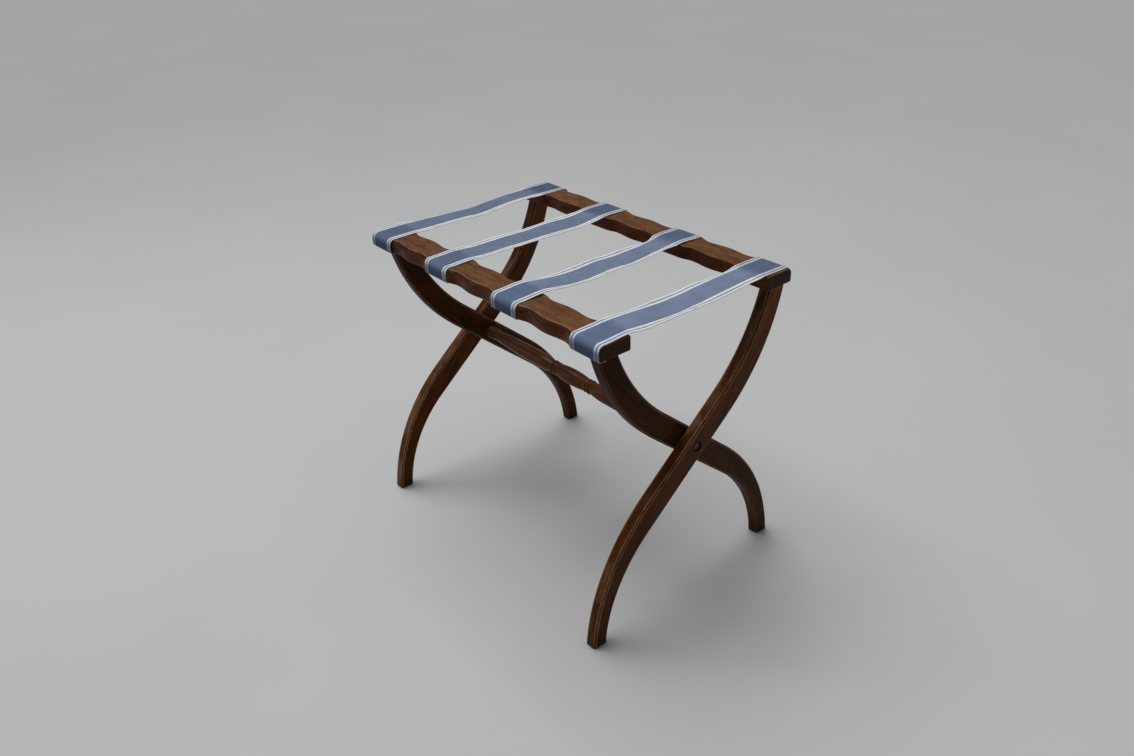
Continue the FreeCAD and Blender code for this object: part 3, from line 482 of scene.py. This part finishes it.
def softened(values):
    """values over GRID without corners, and even on both sides of mid span."""
    h = np.convolve(np.pad(values, 18), KERNEL, "same")[18:-18]
    g = np.exp(-((GRID / 9.0) ** 2))
    return h * (1 - g) + h[len(GRID) // 2] * g


def profile(values, mid):
    """The station heights as a smooth curve over GRID, level with the other edge at mid span and never in the rail."""
    h = np.convolve(np.pad(np.interp(GRID, STATIONS, values, 0, 0), 18), KERNEL, "same")[18:-18]
    g = np.exp(-((GRID / 13.0) ** 2))
    h = h * (1 - g) + mid * g
    floor = -0.45 * np.clip(137.3 - np.abs(GRID), 0.0, None)
    return np.maximum(h, floor)


def path():
    """The webbing's middle surface in section, from the tail's cut end under the rail to mid span: (y, z, travel) in mm."""
    rows = []

    def run(a, b, n):
        for k in range(n):
            t = k / n
            rows.append((a[0] + (b[0] - a[0]) * t, a[1] + (b[1] - a[1]) * t))

    def turn(c, r, a0, a1, n):
        for k in range(n):
            a = math.radians(a0 + (a1 - a0) * k / n)
            rows.append((c[0] + r * math.cos(a), c[1] + r * math.sin(a)))

    run((177.5, 484.55), (186.5, 484.55), 5)
    turn((186.5, 488.3), 3.75, -90, 0, 8)
    run((190.25, 488.3), (190.25, 499.5), 6)
    turn((181.5, 499.5), 8.75, 0, 90, 12)
    run((181.5, 508.25), (135.0, 508.25), 26)
    run((135.0, 508.25), (0.0, 508.25), 84)
    rows.append((0.0, 508.25))
    rows = np.array(rows)
    travel = np.concatenate([[0.0], np.cumsum(np.hypot(*np.diff(rows, axis=0).T))])
    return rows, travel


ROWS, TRAVEL = path()
COLS = np.linspace(-HALF + 0.7, HALF - 0.7, 33)


def middle_surface(spec, centre, side, rows, seed):
    """Points of the middle surface in mm, one row per path step and one column per COLS, with the selvedges rolled as spec says."""
    far, near = profile(spec["far"], spec["mid"]), profile(spec["near"], spec["mid"])
    curl_far, curl_near = (softened(np.interp(GRID, CURL_AT, spec[k], 0, 0)) for k in ("curl_far", "curl_near"))
    out = np.zeros((len(rows), len(COLS), 3))
    on_top = rows[:, 1] > 508.2
    for r, (y, z) in enumerate(rows):
        sy = side * y
        lift_far = np.interp(sy, GRID, far) if on_top[r] else 0.0
        lift_near = np.interp(sy, GRID, near) if on_top[r] else 0.0
        slope = (lift_near - lift_far) / WIDTH
        free = float(smooth_step((135.0 - abs(y)) / 15.0)) if on_top[r] else 0.0
        seam = float(smooth_step((abs(y) - 3.0) / 20.0))
        angles = np.zeros(len(COLS))
        for edge, curl in ((-1, curl_far), (1, curl_near)):
            dist = edge * COLS - (HALF - spec.get("border", 13.0))
            angles += free * math.radians(np.interp(sy, GRID, curl)) * smooth_step(dist / 5.0)
        # every border ripples a little where nothing holds it
        for edge, ph in ((-1, 0.7), (1, 2.9)):
            dist = edge * COLS - (HALF - 13.0)
            ripple = math.sin(sy / 13.0 + ph + seed * 1.7) + 0.6 * math.sin(sy / 7.3 + 2.1 * ph + seed)
            angles += free * seam * math.radians(2.4) * ripple * smooth_step(dist / 9.0)
        steps = np.diff(COLS)
        mids = 0.5 * (angles[1:] + angles[:-1])
        x = np.concatenate([[0.0], np.cumsum(steps * np.cos(mids))])
        down = np.cumsum(np.concatenate([[0.0], steps * np.sin(mids) * np.sign(0.5 * (COLS[1:] + COLS[:-1]) + 1e-9)]))
        mid_col = len(COLS) // 2
        x -= x[mid_col]
        down -= down[mid_col]
        crown = 0.45 * free * seam * (1 - (COLS / HALF) ** 2) - 0.25 * free * seam
        lift = 0.5 * (lift_far + lift_near) + slope * COLS + crown
        drift = spec["drift"] * float(smooth_step((sy + 135.0) / 270.0))
        out[r, :, 0] = centre + drift + x
        out[r, :, 1] = sy
        out[r, :, 2] = z + (lift - down if on_top[r] else 0.0)
    return out


def strap(i, side):
    """One half of strap i: the front half at side -1, the rear half at side 1. A closed mesh with a rolled selvedge and flat cut ends."""
    where = "front" if side < 0 else "rear"
    ends = f"strap_{i}_{where}_end"
    half = f"strap_{i}_{where}_half"
    lo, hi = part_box(ends)
    centre = 500.0 * (lo.x + hi.x)
    spec = STRAPS[i]
    # one more row over the middle, for the seam's own slope
    rows = np.vstack([ROWS, (-1.6, 508.25)])
    mid = middle_surface(spec, centre, side, rows, i)
    along = np.gradient(mid, axis=0)
    across = np.gradient(mid, axis=1)
    normal = np.cross(across, along) * (-side)
    normal /= np.linalg.norm(normal, axis=2, keepdims=True)
    # the outside of the turn over the rail is up or outwards
    mid, along, across, normal = mid[:-1], along[:-1], across[:-1], normal[:-1]
    if normal[-1, len(COLS) // 2, 2] < 0:
        normal = -normal
    normal[-1, :, 1] = 0.0
    normal[-1] /= np.linalg.norm(normal[-1], axis=1, keepdims=True)
    across = across / np.linalg.norm(across, axis=2, keepdims=True)
    t = THICK / 2
    arc = np.radians((67.5, 30.0, 0.0, -30.0, -67.5))
    verts, us, vs = [], [], []
    wave = 0.10 * np.sin(TRAVEL * 1.9 + i) + 0.10 * np.sin(TRAVEL * 0.83 + 2 * i)
    travel = TRAVEL if side < 0 else 2 * TRAVEL[-1] - TRAVEL
    fade = smooth_step((np.abs(ROWS[:, 0]) - 1.0) / 12.0)
    for r in range(len(ROWS)):
        ring, uu = [], []
        for c in range(len(COLS)):
            ring.append(mid[r, c] + normal[r, c] * t)
            uu.append(COLS[c])
        for a in arc:
            ring.append(mid[r, -1] + normal[r, -1] * t * math.sin(a) + across[r, -1] * (0.7 + wave[r] * fade[r]) * math.cos(a))
            uu.append(HALF - 0.35)
        for c in range(len(COLS) - 1, -1, -1):
            ring.append(mid[r, c] - normal[r, c] * t)
            uu.append(COLS[c])
        for a in -arc:
            ring.append(mid[r, 0] + normal[r, 0] * t * math.sin(a) - across[r, 0] * (0.7 - wave[r] * fade[r]) * math.cos(a))
            uu.append(-HALF + 0.35)
        verts.append(np.array(ring))
        us.append(uu)
        vs.append([travel[r]] * len(ring))
    n = len(verts[0])
    co = np.concatenate(verts) / 1000.0
    faces = []
    for r in range(len(ROWS) - 1):
        for c in range(n):
            a, b = r * n + c, r * n + (c + 1) % n
            faces.append((a, b, b + n, a + n))
    # flat ends, as a ladder of quads from the top side to the bottom side
    def cap(r0, flip):
        top = list(range(0, len(COLS)))
        right = list(range(len(COLS), len(COLS) + 5))
        bottom = list(range(len(COLS) + 5, 2 * len(COLS) + 5))
        left = list(range(2 * len(COLS) + 5, n))
        under = bottom[::-1]
        made = []
        for c in range(len(COLS) - 1):
            made.append([top[c], under[c], under[c + 1], top[c + 1]])
        made.append([top[-1], under[-1]] + right[::-1])
        made.append([under[0], top[0]] + left[::-1])
        for f in made:
            f = [r0 * n + k for k in f]
            faces.append(tuple(f[::-1]) if flip else tuple(f))

    cap_from = len(faces)
    cap(0, True)
    cap(len(ROWS) - 1, False)
    mesh = bpy.data.meshes.new(f"webbing_{i}_{where}")
    mesh.from_pydata([tuple(p) for p in co], [], faces)
    mesh.validate()
    obj = bpy.data.objects.new(f"webbing_{i}_{where}", mesh)
    SCENE.collection.objects.link(obj)
    # outward faces, whichever way the loop ran
    import bmesh
    bm = bmesh.new()
    bm.from_mesh(mesh)
    bmesh.ops.recalc_face_normals(bm, faces=bm.faces)
    if bm.calc_volume(signed=True) < 0:
        bmesh.ops.reverse_faces(bm, faces=bm.faces)
    bm.faces.ensure_lookup_table()
    for f in bm.faces:
        f.smooth = True
    caps = set(range(cap_from, len(faces)))
    for f in bm.faces:
        if f.index in caps:
            f.smooth = False
    for e in bm.edges:
        kinds = {f.index in caps for f in e.link_faces}
        if len(kinds) == 2:
            e.smooth = False
    bm.to_mesh(mesh)
    bm.free()
    for label, values in (("strap_u", np.concatenate(us) / 1000.0), ("strap_v", np.concatenate(vs) / 1000.0),
                          ("strap_n", np.full(len(co), float(i)))):
        at = mesh.attributes.new(label, "FLOAT", "POINT")
        at.data.foreach_set("value", np.asarray(values, np.float32))
    mesh.materials.append(WEB)
    mesh.update()
    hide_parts(ends, half)
    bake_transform(obj)
    return obj


for i in STRAPS:
    for side in (-1, 1):
        strap(i, side)


# ------------------------------------------------------------------ floor, light, camera
def floor():
    size = 18.0
    mesh = bpy.data.meshes.new("studio_floor")
    mesh.from_pydata([(-size, -size, 0), (size, -size, 0), (size, size, 0), (-size, size, 0)], [], [(0, 1, 2, 3)])
    obj = bpy.data.objects.new("studio_floor", mesh)
    SCENE.collection.objects.link(obj)
    m = Mat("studio_floor")
    cloud = m.noise(m.coord.outputs["Object"], 1.6, 4.0, 0.5)
    mesh.materials.append(m.set(Base_Color=m.ramp(cloud, [(0.3, (0.52, 0.525, 0.53)), (0.7, (0.54, 0.545, 0.55))]),
                                Roughness=0.85, Specular_IOR_Level=0.15))


def softbox(name, at, aim, size, power, colour=(1.0, 1.0, 1.0)):
    data = bpy.data.lights.new(name, "AREA")
    data.shape, data.size, data.size_y = "RECTANGLE", size[0], size[1]
    data.energy, data.color = power, colour
    obj = bpy.data.objects.new(name, data)
    obj.location = at
    obj.rotation_mode = "QUATERNION"
    obj.rotation_quaternion = (Vector(aim) - Vector(at)).to_track_quat("-Z", "Y")
    SCENE.collection.objects.link(obj)


floor()
sun = bpy.data.lights.new("key_sky", "SUN")
sun.energy, sun.angle, sun.color = 1.62, math.radians(44), (1.0, 0.99, 0.97)
sky = bpy.data.objects.new("key_sky", sun)
sky.rotation_mode = "QUATERNION"
sky.rotation_quaternion = Vector((0.36, 0.04, -1.0)).to_track_quat("-Z", "Y")
SCENE.collection.objects.link(sky)
softbox("overhead_box", (-0.55, 0.05, 2.3), (0.0, 0.0, 0.45), (1.7, 1.7), 12.0, (1.0, 0.985, 0.96))
softbox("low_strip", (-2.1, -1.9, 1.15), (0.0, 0.0, 0.3), (0.55, 1.3), 7.0, (1.0, 0.985, 0.96))

world = bpy.data.worlds.new("studio")
world.use_nodes = True
world.node_tree.nodes["Background"].inputs[0].default_value = (0.95, 0.97, 1.0, 1.0)
world.node_tree.nodes["Background"].inputs[1].default_value = 0.22
SCENE.world = world
SCENE.view_settings.view_transform = "Standard"
SCENE.view_settings.look = "None"
SCENE.view_settings.exposure = 0.0
SCENE.view_settings.gamma = 1.0

yaw, pitch, roll = 0.898142, 0.509202, -0.036365
ahead = Vector((-math.sin(yaw) * math.cos(pitch), math.cos(yaw) * math.cos(pitch), -math.sin(pitch)))
right = Vector((math.cos(yaw), math.sin(yaw), 0.0))
up = right.cross(ahead)
right2 = math.cos(roll) * right + math.sin(roll) * up
up2 = -math.sin(roll) * right + math.cos(roll) * up
lens = bpy.data.cameras.new("camera")
lens.sensor_fit, lens.sensor_width, lens.lens = "HORIZONTAL", 36.0, 30.674
lens.clip_start, lens.clip_end = 0.05, 100.0
camera = bpy.data.objects.new("camera", lens)
turned = Matrix((right2, up2, -ahead)).transposed()
camera.matrix_world = Matrix.Translation((1.11351, -0.90031, 1.07330)) @ turned.to_4x4()
SCENE.collection.objects.link(camera)
SCENE.camera = camera

bpy.context.view_layer.update()
